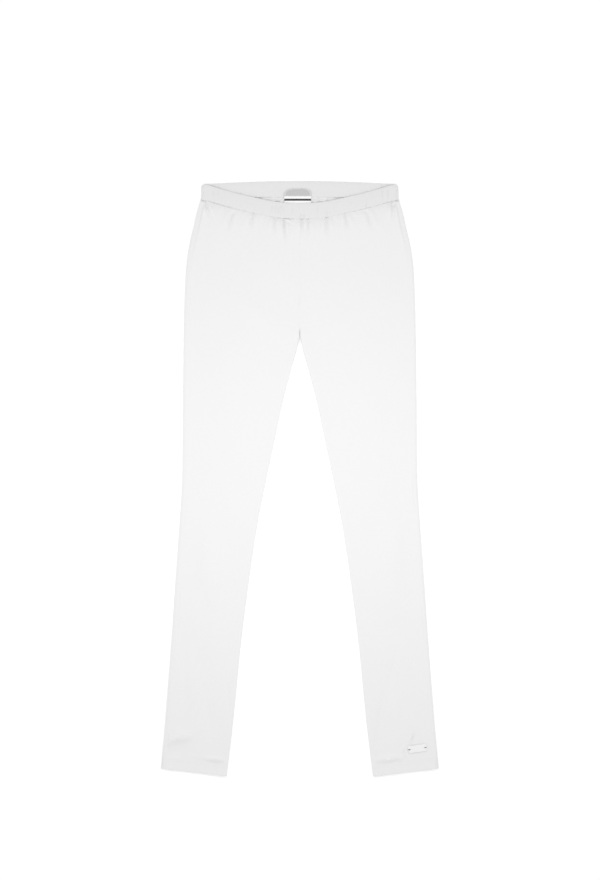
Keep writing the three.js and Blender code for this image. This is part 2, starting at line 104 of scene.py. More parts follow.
# How much wider than high the side edge's roll is: (down, ratio)
ROLL_WIDTH = [(30, 1.4), (60, 2.2), (800, 2.3), (915, 2.4), (935, 2.9), (952, 4.0)]
# The front's height between its edges: (down, middle)
MIDDLE = [
    (30, 5.2), (90, 5.2), (170, 4.7), (253, 4.6), (380, 4.9), (560, 4.3), (760, 4.4), (900, 4.3), (965, 4.8),
]

# Troughs between the gathers: (x at the waist seam, start and end below it, width, depth, lean)
FRONT_GATHERS = [
    (-153.5, -4, 30, 2.0, 3.0, 0.62), (-142, 2, 16, 1.3, 0.4, 0.1), (-134, 4, 24, 2.6, 0.4, 0.05),
    (-121, 2, 16, 2.0, 0.3, 0), (-106, 14, 42, 2.2, 1.4, -0.12), (-95, 6, 28, 2.2, 0.4, 0.06),
    (-84, 3, 16, 1.8, 0.3, 0), (-75.5, 4, 32, 2.0, 1.6, -0.05), (-58, 6, 24, 1.8, 0.35, 0.05),
    (-50, 2, 14, 1.6, 0.3, 0), (-40.5, 6, 34, 1.9, 1.6, 0.03), (-32, 2, 14, 1.5, 0.35, 0.1),
    (-26, 1, 50, 1.4, 1.7, 0.11), (-14, 6, 26, 1.8, 0.5, 0.02), (-6, 3, 18, 1.5, 0.4, 0),
    (3.5, 3, 32, 1.8, 1.6, 0.02), (13.5, 4, 34, 2.0, 1.5, -0.05), (24, 2, 16, 1.6, 0.35, -0.1),
    (33, 3, 20, 1.8, 0.4, 0), (43, 0, 38, 2.1, 2.0, -0.03), (52, 3, 18, 1.6, 0.3, 0),
    (60, 5, 22, 2.0, 0.35, -0.05), (73, 6, 32, 1.9, 1.5, 0.04), (84, 4, 18, 1.8, 0.3, 0),
    (94, 6, 24, 2.2, 0.35, -0.06), (106, 12, 42, 2.2, 1.4, 0.12), (120, 3, 18, 2.0, 0.3, 0),
    (132, 4, 24, 2.4, 0.4, -0.05), (149.5, -4, 32, 1.8, 3.0, -0.22), (157, -4, 16, 1.2, 2.2, -0.75),
]
BACK_GATHERS = [
    (-146, 0, 24, 3.0, 0.9, 0.05), (-124, 0, 30, 3.0, 0.8, 0), (-101, 0, 26, 2.8, 0.6, 0.04),
    (-82, 0, 36, 2.6, 0.9, -0.03), (-63, 0, 26, 2.4, 0.8, 0), (-48, 0, 40, 2.4, 1.0, -0.05),
    (-34, 0, 34, 2.4, 0.9, 0.04), (31, 0, 36, 2.4, 0.9, -0.04), (46, 0, 42, 2.4, 1.0, 0.05),
    (60, 0, 26, 2.4, 0.8, 0), (79, 0, 34, 2.6, 0.8, 0.03), (98, 0, 26, 2.8, 0.6, 0),
    (122, 0, 30, 3.0, 0.9, -0.04), (147, 0, 24, 3.2, 0.9, 0),
]
PUFF = {"front": 4.2, "back": 0.9}
DEEPER = {"front": 2.1, "back": 1.2}
WIDER = {"front": 1.4, "back": 1.0}
DEEPEST = 3.3
PUFF_FADE = 62.0
PUFF_RISE = 30.0
PINCH = 0.8
# How deep the groove is in which the front panels meet the waistband: (distance from the centre line, depth)
WAIST_GROOVE = [
    (-160, 3.6), (-156, 2.8), (-149, 0.8), (-110, 0.8), (-82, 0.7), (-70, 0.4), (-50, 0.4), (-45, 1.2),
    (-13, 1.3), (-4, 0.4), (78, 0.4), (92, 0.7), (149, 0.8), (156, 2.8), (160, 3.6),
]
# Folds that fan out beside the size label, inside the back: (x, down, turn, run, width, lift)
FAN = [
    (-29, 32.5, -42, 7, 1.4, 2.2), (-35, 31.5, -56, 8, 1.4, -1.7), (-41, 31.5, -64, 8, 1.5, 2.2),
    (-47, 31, -70, 7, 1.3, -1.6), (23, 32.5, 40, 8, 1.4, 2.2), (29, 31.5, 54, 9, 1.4, -1.7),
    (36, 31.8, 62, 8, 1.6, 2.2), (43, 31, 70, 7, 1.3, -1.6), (50, 32, 76, 7, 1.3, 1.2),
]

# Soft folds of the front: (x, down, turn from straight down in degrees, run, width, lift)
FOLDS = [
    (-148, 48, 84, 13, 9, 2.0), (149, 48, -84, 13, 9, 2.0), (-134, 80, 10, 24, 20, 1.8),
    (135, 82, -12, 26, 22, 1.8), (16, 150, 3, 60, 9, 0.9), (-10, 130, 0, 80, 8, -0.9),
    (-84, 205, 60, 60, 16, 1.2), (92, 216, -62, 62, 16, 1.2), (-34, 268, 48, 40, 9, -1.0),
    (36, 272, -50, 38, 9, -1.0), (-118, 330, 8, 120, 26, 1.3), (112, 345, -6, 110, 28, 1.3),
    (-147, 620, 2, 62, 20, 3.6), (149, 616, -2, 62, 20, 3.6), (-174, 690, 3, 30, 12, 1.0),
    (178, 500, -3, 30, 12, 1.0), (-120, 500, 24, 60, 14, 1.0), (124, 510, -30, 52, 14, 1.0),
    (-140, 730, -14, 60, 15, 1.2), (186, 702, 40, 30, 14, 1.2), (-146, 868, 6, 56, 11, -1.3),
    (138, 856, -8, 60, 11, -1.3), (-192, 895, -70, 24, 11, 1.8), (-200, 924, -70, 18, 8, -1.5),
    (172, 884, -30, 36, 12, 1.0), (-170, 850, 4, 50, 12, 1.0),
]
# The groove that the side seam presses into the front: hem_depth takes the place of depth at the hem
SIDE_GROOVE = {"inset": 2.0, "width": 0.75, "depth": 0.42, "hem_depth": 1.15}
# Tucks beside the side seam at the hems, in the columns of the soft folds
EDGE_TUCKS = [(-222.4, 945, 4, 9, 2.1, -1.3), (222.4, 945, -4, 9, 2.1, -1.3)]
# Small creases that only the finer mesh can hold, in the columns of the soft folds
CREASES = [
    (-3, 194, 2, 9, 1.5, -0.9), (1.5, 196, -4, 8, 1.6, 0.7), (180.5, 902, -24, 11, 1.6, 1.2),
    (184, 901, -24, 12, 1.8, -1.0), (169.5, 928, 0, 5, 1.5, -1.9), (-137, 937, 84, 18, 3.6, 4.0),
    (144, 937, -84, 22, 3.6, 4.0), (183.5, 306, 1, 52, 1.4, -0.8), (-195.5, 678, -2, 60, 1.3, -0.7),
    (-22, 66, 62, 9, 1.6, -1.3), (-19, 63.5, 62, 9, 1.6, 1.0), (-150, 60, 20, 14, 3.0, -0.4),
    (150, 62, -22, 16, 3.0, -0.4), (-158, 560, 62, 22, 5.0, 0.3), (160, 566, -58, 24, 5.0, 0.3),
    (-176, 604, 74, 18, 4.0, -0.3), (178, 612, -70, 20, 4.0, 0.35), (-24, 300, 40, 26, 3.0, 0.25),
    (26, 306, -42, 28, 3.0, 0.25), (-12, 262, 58, 14, 2.2, -0.3), (13, 264, -60, 15, 2.2, -0.3),
    (-128, 820, 10, 40, 5.0, 0.6), (150, 790, -12, 46, 5.0, -0.6), (-168, 760, 20, 34, 5.0, -0.5),
    (-203, 905, -62, 14, 5.0, 4.4), (-186, 902, -80, 11, 4.8, 3.8), (-112, 872, 4, 44, 4.0, -0.7),
    (128, 880, -6, 40, 4.0, -0.7), (-186, 800, 3, 60, 5.0, -0.6),
]

BRAND_LABEL = {"x": -3.5, "half": 23.0, "height": 12.5, "down": 24.4, "rim": 0.86}
SIZE_LABEL = {"x": -3.5, "half": 21.5, "thick": 0.5, "rise": 0.5, "length": 24.0, "caught": 1.5}
RIBBON_STRIPE = {"down": 4.6, "half": 1.7}  # below the size label's upper edge
PLATE = {
    "x": 190.4, "down": 919.5, "width": 30.0, "height": 11.5, "corner": 2.6, "slope": 7.5,
    "hole_radius": 1.15, "hole_inset": 2.8, "bevel": 0.2,
}


def smoothstep(value, low, high):
    t = np.clip((value - low) / (high - low), 0, 1)
    return t * t * (3 - 2 * t)


def lerp(low, high, share):
    return low + (high - low) * share


def gauss(distance, width):
    return np.exp(-((distance / width) ** 2))


def along(table, down):
    """A table's second column at `down`, on a smooth curve through its rows."""
    at, value = np.array(table, float).T
    slope = np.gradient(value)
    slope[1:-1] = (value[2:] - value[:-2]) / (at[2:] - at[:-2])
    slope[0] = (value[1] - value[0]) / (at[1] - at[0])
    slope[-1] = (value[-1] - value[-2]) / (at[-1] - at[-2])
    x = np.clip(down, at[0], at[-1])
    i = np.clip(np.searchsorted(at, x, side="left") - 1, 0, len(at) - 2)
    span = at[i + 1] - at[i]
    t = (x - at[i]) / span
    return (
        (2 * t**3 - 3 * t**2 + 1) * value[i]
        + (t**3 - 2 * t**2 + t) * span * slope[i]
        + (3 * t**2 - 2 * t**3) * value[i + 1]
        + (t**3 - t**2) * span * slope[i + 1]
    )


def band_top(layer, x):
    share = np.minimum(1, np.abs(x) / BAND["half"])
    bow = layer["bow"] * smoothstep(share, 0.2, 0.5) * (1 - smoothstep(share, 0.9, 1))
    return BAND["side_top"] + layer["dip"] * np.cos(share * math.pi / 2) - bow


WAIST_SIDE_DOWN = BAND["side_top"] + BAND["height"] + SEAM_GAP
WAIST_HALF = float(along(OUTSEAM, WAIST_SIDE_DOWN))


def down_at(layer, row, share):
    """How far down a row lies: 0 is the waist seam, 1 the crotch and 2 the hem.

    share runs across the panel, from 0 at the side seam to 1 at the inner seam.
    """
    waist = band_top(layer, WAIST_HALF * (1 - share)) + BAND["height"]
    body = lerp(waist, CROTCH_DOWN, row)
    leg = lerp(CROTCH_DOWN, lerp(HEM["side_down"], HEM["inner_down"], share), row - 1)
    return np.where(row <= 1, body, leg)


def folded(at, table):
    """How far a table of folds lifts the cloth at the points of smooth_panel()."""
    lift = np.zeros(np.broadcast(at.real_x, at.down).shape)
    for fold_x, fold_down, turn, run, width, height in table:
        angle = math.radians(turn)
        dx = at.real_x - fold_x
        dd = at.down - fold_down
        lengthwise = dd * math.cos(angle) + dx * math.sin(angle)
        crosswise = dx * math.cos(angle) - dd * math.sin(angle)
        lift += height * gauss(lengthwise, run) * gauss(crosswise, width)
    return lift


def unevenness(x, down, seed):
    """Faint waves that run every way, as in cloth smoothed down by hand."""
    rng = np.random.default_rng(seed)
    lift = np.zeros(np.broadcast(x, down).shape)
    for _ in range(WAVES["count"]):
        length = rng.uniform(WAVES["shortest"], WAVES["longest"])
        way = rng.uniform(0, math.pi)
        phase = rng.uniform(0, 2 * math.pi)
        lift += np.sin(2 * math.pi * (x * math.cos(way) + down * math.sin(way)) / length + phase)
    return lift * WAVES["height"] / math.sqrt(WAVES["count"])


def ripple(at, pitch, seed):
    """An irregular wave between about -1 and 1 along one direction."""
    rng = np.random.default_rng(seed)
    total = 0
    for _ in range(5):
        length = pitch * rng.uniform(0.7, 1.7)
        phase = rng.uniform(0, 6.3)
        total = total + np.sin(2 * math.pi * at / length + phase)
    return total / 2.6


def small_gathers(seed):
    """Short extra troughs at the seam between the drawn ones, in the gathers' columns."""
    rng = np.random.default_rng(seed)
    xs = np.arange(-155, 156, 9.1) + rng.uniform(-2.4, 2.4, 35)
    return [(x, -4, rng.uniform(6, 15), rng.uniform(0.8, 1.2), rng.uniform(0.15, 0.4), 0) for x in xs]


SMALL = {"front": small_gathers(SEED), "back": small_gathers(SEED + 1)}


def beside_plate(x, down):
    """0 on the cloth that lies flat under the ankle plate, 1 away from it."""
    slope = math.radians(PLATE["slope"])
    dx = x - PLATE["x"]
    dd = down - PLATE["down"]
    lengthwise = np.abs(dx * math.cos(slope) - dd * math.sin(slope)) - PLATE["width"] / 2
    crosswise = np.abs(dx * math.sin(slope) + dd * math.cos(slope)) - PLATE["height"] / 2
    return smoothstep(np.hypot(np.maximum(0, lengthwise), np.maximum(0, crosswise)), 0.5, 4)


def gathers(layer, below, waist_x):
    """How far the cloth puffs out, how deep its troughs cut, and how far they draw it together sideways."""
    lower = np.maximum(0, below)
    trough = np.zeros(np.broadcast(lower, waist_x).shape)
    pinch = np.zeros_like(trough)
    drawn = FRONT_GATHERS if layer is FRONT else BACK_GATHERS
    for x, start, end, width, depth, lean in drawn + SMALL[layer["name"]]:
        shown = smoothstep(lower, start - 12, start - 2) * (1 - smoothstep(lower, lerp(start, end, 0.3), end))
        off = waist_x - x - lean * lower
        wide = WIDER[layer["name"]] * width * (1 + 0.5 * lower / end)
        shoulders = (gauss(off - 2 * wide, wide) + gauss(off + 2 * wide, wide)) * smoothstep(lower, 1, 9)
        trough += depth * shown * (gauss(off, wide) - 0.35 * shoulders)
        pinch -= PINCH * min(1, depth) * shown * off * gauss(off, 1.3 * wide)
    fade = np.exp(-((lower / PUFF_FADE) ** 1.6))
    puff = PUFF[layer["name"]] * fade * np.sin(np.minimum(1, lower / PUFF_RISE) * math.pi / 2)
    return puff, DEEPEST * np.tanh(DEEPER[layer["name"]] * trough / DEEPEST), pinch


def from_hem(row):
    return (2 - row) * LEG_DEPTH


def smooth_panel(layer, side, row, across):
    """The panel before its folds: its places and height, and how near each point is to the edges.

    x counts from the centre line outwards and real_x towards the wearer's left.
    """
    side_down = down_at(layer, row, 0.0)
    inner_down = down_at(layer, row, 1.0)
    side_x = along(OUTSEAM, side_down)
    inner_x = np.where(row < 1, SEAM / 2, along(INSEAM, inner_down))
    side_roll = along(ROLL, side_down)
    side_width = side_roll * along(ROLL_WIDTH, side_down)
    inner_roll = along(ROLL, inner_down)
    curl = np.maximum(CURL["least"], smoothstep(row, CURL["row"], 1.0))
    inner_radius = inner_roll / curl
    inner_angle = curl * math.pi / 2
    flat_from = side_x - side_width
    flat_to = inner_x + inner_radius * np.sin(inner_angle)

    side_turn = (1 - np.minimum(across, 1)) * math.pi / 2
    inner_turn = (np.maximum(across, 2) - 2) * inner_angle
    x = lerp(flat_from, flat_to, np.clip(across - 1, 0, 1))
    x = x + side_width * np.sin(side_turn) - inner_radius * np.sin(inner_turn)
    drop = side_roll * (1 - np.cos(side_turn)) + inner_radius * (1 - np.cos(inner_turn))

    share = (side_x - x) / (side_x - inner_x)
    down = down_at(layer, row, share)
    to_side = np.maximum(0, flat_from - x)
    to_inner = np.maximum(0, x - flat_to)
    middle = along(MIDDLE, down)
    side_rise = (2 * side_roll + SEAM_GAP - middle) * gauss(to_side, EDGE_REACH)
    inner_rise = (2 * inner_roll + SEAM_GAP - middle) * gauss(to_inner, EDGE_REACH)
    inner_rise = inner_rise * np.minimum(1, 1.6 * curl)
    height = middle + side_rise + inner_rise - drop if layer is FRONT else drop

    rolled = np.maximum(0, (curl - CURL["least"]) / (1 - CURL["least"]))
    calm_inner = lerp(1, smoothstep(to_inner, 0, CALM["inner"]), rolled)
    calm = smoothstep(to_side, 0, CALM["side"]) * calm_inner

    reach = SEAM_PULL["reach"]
    seam_side = gauss(side_roll * (math.pi / 2 - side_turn), reach) * (across < 1)
    seam_inner = gauss(inner_radius * (inner_angle - inner_turn), reach) * (across > 2) * curl
    pull = SEAM_PULL["pull"] + SEAM_PULL["uneven"] * ripple(down, 9, SEED + 5)
    x = x - pull * seam_side + pull * seam_inner
    close = (SEAM_GAP - SEAM) / 2 * layer["up"]
    height = height - close * (seam_side + seam_inner)
    return SimpleNamespace(
        row=row, across=across, x=x, real_x=side * x, down=down, height=height, calm=calm, curl=curl,
        from_edge=side_width * (1 - np.sin(side_turn)), below=row * BODY_DEPTH, hem=from_hem(row),
        waist_x=side * lerp(WAIST_HALF, 0, share),
    )


def centre_seam(at):
    """The ditch of the centre seam, and the puckers beside it."""
    centre = (1 - smoothstep(at.curl, 0.05, 0.5)) * (1 + 0.2 * ripple(at.down, 11, SEED + 6))
    ditch = centre * CENTRE["ditch"] * np.exp(-np.abs(at.x) / CENTRE["half"])
    wave = ripple(at.down + CENTRE["slant"] * at.x, CENTRE["pitch"], SEED + 7)
    return ditch, centre * CENTRE["pucker"] * wave * gauss(at.x, CENTRE["reach"])


def side_groove(at):
    """The groove that the side seam presses into the front."""
    pressed = gauss(at.from_edge - SIDE_GROOVE["inset"], SIDE_GROOVE["width"]) * (at.across < 1)
    pressed = pressed * smoothstep(at.row, 0, 0.1)
    return pressed * lerp(SIDE_GROOVE["depth"], SIDE_GROOVE["hem_depth"], smoothstep(at.down, 915, 945))


def hem_tucks(at):
    return folded(at, EDGE_TUCKS) * smoothstep(at.across, 0, 0.35)


def stitch_grooves(at):
    """The grooves of the hem's two rows of stitches."""
    off = at.hem - HEM["turn"]
    width = HEM["stitch_width"]
    return HEM["groove"] * (gauss(off + HEM["needles"], width) + gauss(off - HEM["needles"], width))


def hem_rope(at):
    rope = ROPE["height"] * ripple(at.real_x + ROPE["slant"] * at.hem, ROPE["pitch"], SEED + 9)
    return rope * smoothstep(at.hem, 1, 4) * (1 - smoothstep(at.hem, 11, 16))


def front_heights(at, puff, trough):
    """How high the front's outer skin lies, and how far its inner skin is lifted."""
    tucks = hem_tucks(at)
    ditch, pucker = centre_seam(at)
    lift = folded(at, FOLDS) + folded(at, CREASES)
    lift = lift + unevenness(at.real_x, at.down, SEED + 3)
    lift = at.calm * (lift * beside_plate(at.real_x, at.down) + puff - trough) + tucks

    at_corner = smoothstep(np.abs(at.waist_x), HELD["corner_from"], HELD["corner_to"])
    reach = lerp(HELD["reach"], HELD["corner_reach"], at_corner)
    held = smoothstep(at.across, 0.1, 0.7) * np.exp(-((np.maximum(0, at.below) / reach) ** 2))
    groove_depth = np.interp(at.waist_x, *np.array(WAIST_GROOVE, float).T)
    held_depth = np.maximum(groove_depth, 0.95 * at.calm * trough)

    outer = lerp(at.height + lift, at.height - held_depth, held)
    outer = outer - ditch + pucker - 0.8 * at.calm * stitch_grooves(at) + hem_rope(at) - side_groove(at)
    soft = folded(at, FOLDS) + (1 - held) * 0.85 * (puff - trough)
    channel = HEM["groove"] * gauss(at.hem - HEM["turn"], HEM["needles"])
    return outer, at.calm * (soft - channel) - held * held_depth + tucks


def back_heights(at, puff, trough):
    """How high the back's outer skin lies, which faces the floor, and how far its inner skin is lifted."""
    ditch, _ = centre_seam(at)
    outer = at.height + 0.3 * at.calm * trough + 0.35 * ditch + 0.6 * stitch_grooves(at) * at.calm
    at_seam = np.exp(-((np.maximum(0, at.below + 2) / 1.4) ** 2))
    outer = np.maximum(outer + 0.6 * at_seam * at.calm, 0.0)
    inner_lift = at.calm * (puff - 0.7 * trough + folded(at, FAN))
    return outer, inner_lift - 0.4 * ditch + 0.8 * hem_tucks(at)


def rounded_hem(outer_skin, inner_skin, hem, radius):
    """Both skins, where the hem's fold rounds over from one to the other."""
    t = np.clip(hem / radius, 0, 1)
    rounding = (radius - radius * np.sqrt(np.maximum(0, 1 - (1 - t) ** 2)))[..., None]
    between = outer_skin - inner_skin
    between /= np.maximum(1e-9, np.linalg.norm(between, axis=-1, keepdims=True))
    return outer_skin - between * rounding, inner_skin + between * rounding


def skin(layer, side, row, across):
    """Grids of the panel's outer skin, its inner skin, and the places of both on the cut cloth.

    across counts 0 at the side seam, 1 where that edge's roll ends, 2 where the inner edge's roll starts and
    3 at the inner seam.
    """
    row = np.asarray(row, float)[:, None]
    across = np.asarray(across, float)[None, :]
    at = smooth_panel(layer, side, row, across)
    puff, trough, pinch = gathers(layer, at.below, at.waist_x)
    heights = front_heights if layer is FRONT else back_heights
    outer, inner_lift = heights(at, puff, trough)

    x = at.real_x + at.calm * pinch
    y = LENGTH / 2 - at.down + 0 * x
    smooth = np.stack([x, y, at.height + 0 * x], axis=-1)
    outer_skin = np.stack([x, y, outer + 0 * x], axis=-1)
    along_row = np.gradient(smooth, axis=1)
    down_row = np.gradient(smooth, axis=0)
    normal = np.cross(along_row, down_row) * side * layer["up"]
    normal /= np.maximum(1e-9, np.linalg.norm(normal, axis=-1, keepdims=True))
    wall = CLOTH + HEM["extra"] * (1 - smoothstep(at.hem, HEM["turn"] - 1.5, HEM["turn"] + 1.5))
    inner_skin = smooth - normal * wall[..., None]
    inner_skin[..., 2] = np.maximum(inner_skin[..., 2] + inner_lift, INNER_LOWEST)
    outer_skin, inner_skin = rounded_hem(outer_skin, inner_skin, at.hem, wall[-1, 0] / 2)
    cut = np.stack([at.x + 0 * at.down, at.down + 0 * at.x], axis=-1)
    return outer_skin, inner_skin, cut


def stepped(*stretches):
    """Distances with the given (start, end, step) stretches, each up to its end."""
    return np.concatenate([np.arange(low, high - step * 0.3, step) for low, high, step in stretches])


HEM_END = [1.0, 0.7, 0.45, 0.25, 0.1, 0.0]


def panel_rows(fineness):
    body = stepped(
        (-2.0, 0, 0.7), (0, 3, 0.4 * fineness), (3, 12, 0.9 * fineness), (12, 48, 1.8 * fineness),
        (48, 182, 4.8 * fineness), (182, BODY_DEPTH, 2.4 * fineness),
    )
    leg = stepped(
        (0, 40, 2.8 * fineness), (40, LEG_DEPTH - 130, 8.0 * fineness),
        (LEG_DEPTH - 130, LEG_DEPTH - 24, 4.6 * fineness), (LEG_DEPTH - 24, LEG_DEPTH - 1.2, 1.0 * fineness),
    )
    ends = LEG_DEPTH - np.array(HEM_END)
    return np.concatenate([body / BODY_DEPTH, 1 + leg / LEG_DEPTH, 1 + ends / LEG_DEPTH])


def panel_columns(count):
    edge = [0, 0.05, 0.1, 0.16, 0.24, 0.32, 0.4, 0.5, 0.6, 0.7, 0.8, 0.9]
    t = np.linspace(0, 1, count + 1)
    flat = 1 + t - 0.5 * np.sin(2 * math.pi * t) / (2 * math.pi)
    return np.concatenate([edge, flat, 3 - np.array(edge[::-1])])


def grid_faces(rows, cols, start=0):
    i, j = np.meshgrid(np.arange(rows - 1), np.arange(cols - 1), indexing="ij")
    a = start + i * cols + j
    return np.stack([a, a + cols, a + cols + 1, a + 1], axis=-1).reshape(-1, 4)


def tube_faces(rings, sides):
    """The faces of a tube of rings with both of its ends closed."""
    faces = []
    for i in range(rings - 1):
        for k in range(sides):
            n = (k + 1) % sides
            faces.append([i * sides + k, i * sides + n, (i + 1) * sides + n, (i + 1) * sides + k])
    faces.append(list(range(sides))[::-1])
    faces.append([(rings - 1) * sides + k for k in range(sides)])
    return faces


SHARP_ANGLE = math.radians(62)


def mesh_object(name, points, faces, uv=None, sharp=SHARP_ANGLE):
    mesh = bpy.data.meshes.new(name)
    face_lists = faces if isinstance(faces, list) else faces.tolist()
    mesh.from_pydata((np.asarray(points) * MM).tolist(), [], face_lists)
    if uv is not None:
        layer = mesh.uv_layers.new(name="Cut")
        corner = np.empty(len(mesh.loops), dtype=np.int32)
        mesh.loops.foreach_get("vertex_index", corner)
        layer.data.foreach_set("uv", (np.asarray(uv)[corner] * MM).astype(np.float32).ravel())
    mesh.polygons.foreach_set("use_smooth", np.ones(len(mesh.polygons), dtype=bool))
    mesh.validate()
    mesh.set_sharp_from_angle(angle=sharp)
    obj = bpy.data.objects.new(name, mesh)
    bpy.context.scene.collection.objects.link(obj)
    return obj


def closed_sheet(name, outer, inner, cut, turned):
    """A sheet with an outer and an inner skin, joined by walls round its edges."""
    rows, cols = outer.shape[:2]
    count = rows * cols
    faces = [grid_faces(rows, cols), grid_faces(rows, cols, count)[:, ::-1]]
    index = np.arange(count).reshape(rows, cols)
    for edge, way in ((index[0], 1), (index[-1], -1), (index[:, 0], -1), (index[:, -1], 1)):
        wall = np.stack([edge[:-1], edge[1:], edge[1:] + count, edge[:-1] + count], axis=-1)
        faces.append(wall if way > 0 else wall[:, ::-1])
    faces = np.concatenate(faces)
    if turned:
        faces = faces[:, ::-1]
    points = np.concatenate([outer.reshape(-1, 3), inner.reshape(-1, 3)])
    uv = np.concatenate([cut.reshape(-1, 2)] * 2)
    return mesh_object(name, points, faces, uv)


def area_of(skin_points):
    """The area of a grid of points, in square metres."""
    a = np.diff(skin_points, axis=0)[:, :-1]
    b = np.diff(skin_points, axis=1)[:-1]
    return float(np.linalg.norm(np.cross(a, b), axis=-1).sum()) * MM * MM


# Materials


def new_material(name, color, roughness, metallic=0.0, sheen=0.0):
    material = bpy.data.materials.new(name)
    material.use_nodes = True
    shader = material.node_tree.nodes["Principled BSDF"]
    shader.inputs["Base Color"].default_value = (*color, 1)
    shader.inputs["Roughness"].default_value = roughness
    shader.inputs["Metallic"].default_value = metallic
    shader.inputs["Sheen Weight"].default_value = sheen
    shader.inputs["Sheen Roughness"].default_value = 0.5
    return material, shader


def add_node(material, kind, inputs=None, **properties):
    node = material.node_tree.nodes.new(kind)
    for key, value in properties.items():
        setattr(node, key, value)
    for key, value in (inputs or {}).items():
        if isinstance(value, bpy.types.NodeSocket):
            material.node_tree.links.new(value, node.inputs[key])
        else:
            node.inputs[key].default_value = value
    return node


def bump_chain(material, shader, layers):
    """Adds bumps from (height socket, strength, distance in metres), one on top of the other."""
    normal = None
    for height, strength, distance in layers:
        inputs = {"Height": height, "Strength": strength, "Distance": distance}
        if normal is not None:
            inputs["Normal"] = normal
        normal = add_node(material, "ShaderNodeBump", inputs).outputs["Normal"]
    material.node_tree.links.new(normal, shader.inputs["Normal"])


def tinted(material, shader, mask, dark, light):
    """Colours the surface between two shades by a mask from 0 to 1."""
    ramp = add_node(material, "ShaderNodeValToRGB", {"Fac": mask})
    ramp.color_ramp.elements[0].color = (*dark, 1)
    ramp.color_ramp.elements[1].color = (*light, 1)
    material.node_tree.links.new(ramp.outputs["Color"], shader.inputs["Base Color"])
    return ramp


def jersey_material(name, shade, wale=0.9):
    """Brushed single jersey: fine wales and courses, fuzz and a very faint mottling."""
    material, shader = new_material(name, (shade, shade, shade), 0.9, sheen=0.2)
    cut = add_node(material, "ShaderNodeUVMap", uv_map="Cut").outputs["UV"]
    period = 0.314  # of a wave texture of scale 1
    wales = add_node(
        material, "ShaderNodeTexWave",
        {"Vector": cut, "Scale": period / (wale * MM), "Distortion": 0.6, "Detail": 1.0, "Detail Scale": 2.0},
        bands_direction="X",
    )
    courses = add_node(
        material, "ShaderNodeTexWave",
        {"Vector": cut, "Scale": period / (0.7 * wale * MM), "Distortion": 0.8, "Detail": 1.0},
        bands_direction="Y",
    )
    fuzz = add_node(material, "ShaderNodeTexNoise", {"Vector": cut, "Scale": 1400.0, "Detail": 3.0})
    mottle = add_node(material, "ShaderNodeTexNoise", {"Vector": cut, "Scale": 160.0, "Detail": 4.0})
    bumps = [
        (wales.outputs["Fac"], 0.2, 0.00010),
        (courses.outputs["Fac"], 0.12, 0.00007),
        (fuzz.outputs["Fac"], 0.12, 0.00010),
        (mottle.outputs["Fac"], 0.05, 0.0003),
    ]
    bump_chain(material, shader, bumps)
    tinted(material, shader, mottle.outputs["Fac"], (shade * 0.985,) * 3, (shade * 1.01,) * 3)
    return material


FINE_SCALE = 900.0  # of the wave texture that draws a thread's twist and a ribbon's weave


def thread_material(name, shade):
    material, shader = new_material(name, (shade, shade, shade), 0.6, sheen=0.3)
    place = add_node(material, "ShaderNodeTexCoord").outputs["Object"]
    inputs = {"Vector": place, "Scale": FINE_SCALE}
    twist = add_node(material, "ShaderNodeTexWave", inputs, bands_direction="DIAGONAL")
    bump_chain(material, shader, [(twist.outputs["Fac"], 0.4, 0.00005)])
    tinted(material, shader, twist.outputs["Fac"], (shade * 0.93,) * 3, (shade * 1.05,) * 3)
    return material


def label_material(name, shade):
    """Smooth grey ribbon with a fine close weave."""
    material, shader = new_material(name, (shade, shade, shade), 0.55)
    place = add_node(material, "ShaderNodeTexCoord").outputs["Object"]
    weave = add_node(material, "ShaderNodeTexWave", {"Vector": place, "Scale": FINE_SCALE, "Distortion": 0.4})
    fleck = add_node(material, "ShaderNodeTexNoise", {"Vector": place, "Scale": 500.0, "Detail": 3.0})
    bump_chain(material, shader, [(weave.outputs["Fac"], 0.3, 0.00005)])
    tinted(material, shader, fleck.outputs["Fac"], (shade * 0.92,) * 3, (shade * 1.06,) * 3)
    return material


def ribbon_material():
    """White satin ribbon with one plain dark stripe woven across it."""
    material, shader = new_material("woven ribbon", (0.93, 0.93, 0.93), 0.5, sheen=0.2)
    cut = add_node(material, "ShaderNodeUVMap", uv_map="Cut").outputs["UV"]
    weave = add_node(material, "ShaderNodeTexWave", {"Vector": cut, "Scale": FINE_SCALE}, bands_direction="X")
    bump_chain(material, shader, [(weave.outputs["Fac"], 0.3, 0.00005)])
    down = add_node(material, "ShaderNodeSeparateXYZ", {"Vector": cut}).outputs["Y"]
    middle = RIBBON_STRIPE["down"] * MM
    half = RIBBON_STRIPE["half"] * MM
    away = add_node(material, "ShaderNodeMath", {0: down, 1: middle}, operation="SUBTRACT")
    away = add_node(material, "ShaderNodeMath", {0: away.outputs[0]}, operation="ABSOLUTE")
    beyond = add_node(material, "ShaderNodeMath", {0: away.outputs[0], 1: half}, operation="GREATER_THAN")
    tinted(material, shader, beyond.outputs[0], (0.03,) * 3, (0.93,) * 3)
    return material


def metal_material():
    material, shader = new_material("pale metal", (0.93, 0.93, 0.93), 0.36, metallic=1.0)
    place = add_node(material, "ShaderNodeTexCoord").outputs["Object"]
    brushed = add_node(material, "ShaderNodeTexNoise", {"Vector": place, "Scale": 1800.0, "Detail": 2.0})
    bump_chain(material, shader, [(brushed.outputs["Fac"], 0.08, 0.00004)])
    tinted(material, shader, brushed.outputs["Fac"], (0.9,) * 3, (0.96,) * 3)
    return material


